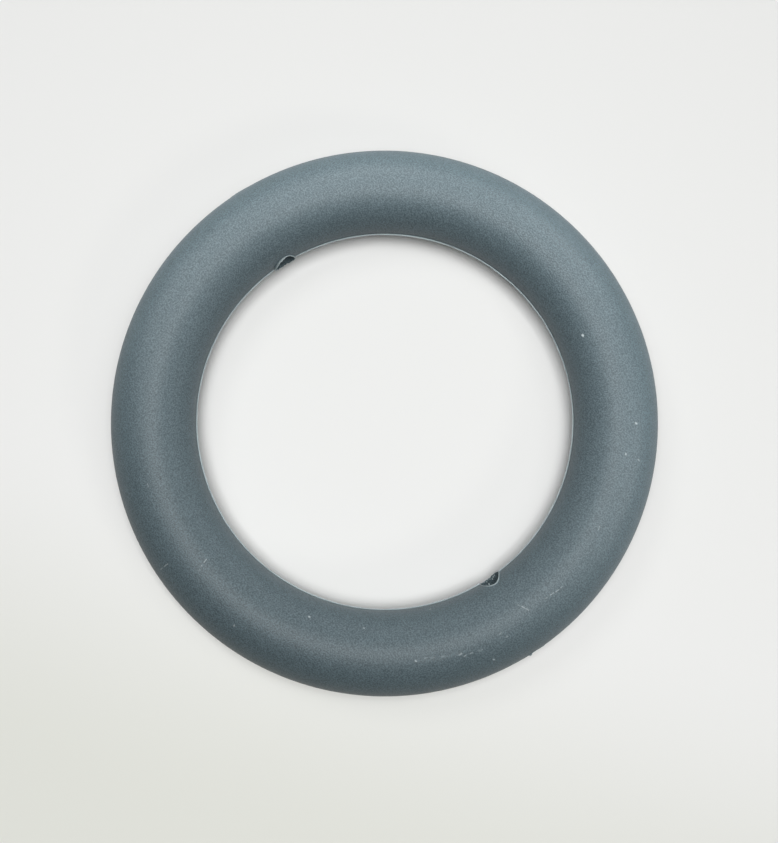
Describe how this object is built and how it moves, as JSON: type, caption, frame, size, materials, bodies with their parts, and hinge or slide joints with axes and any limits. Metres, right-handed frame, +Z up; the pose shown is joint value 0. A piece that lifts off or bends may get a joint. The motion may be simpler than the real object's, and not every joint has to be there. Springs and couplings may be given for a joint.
{
  "type": "silicone ring",
  "caption": "Moulded soft silicone ring of round section, with a cord hole through the section on each side of one diameter.",
  "frame": {"origin": "centre of the ring on the surface that it lies on", "axes": "+Z up along the ring's own axis, X along the two cord holes; the hole with the torn mouth is on -X"},
  "size_m": [0.0651, 0.065, 0.01],
  "materials": {
    "silicone": "satin moulded silicone, blue-grey"
  },
  "bodies": {
    "root": {"ring": "silicone"}
  },
  "joints": []
}
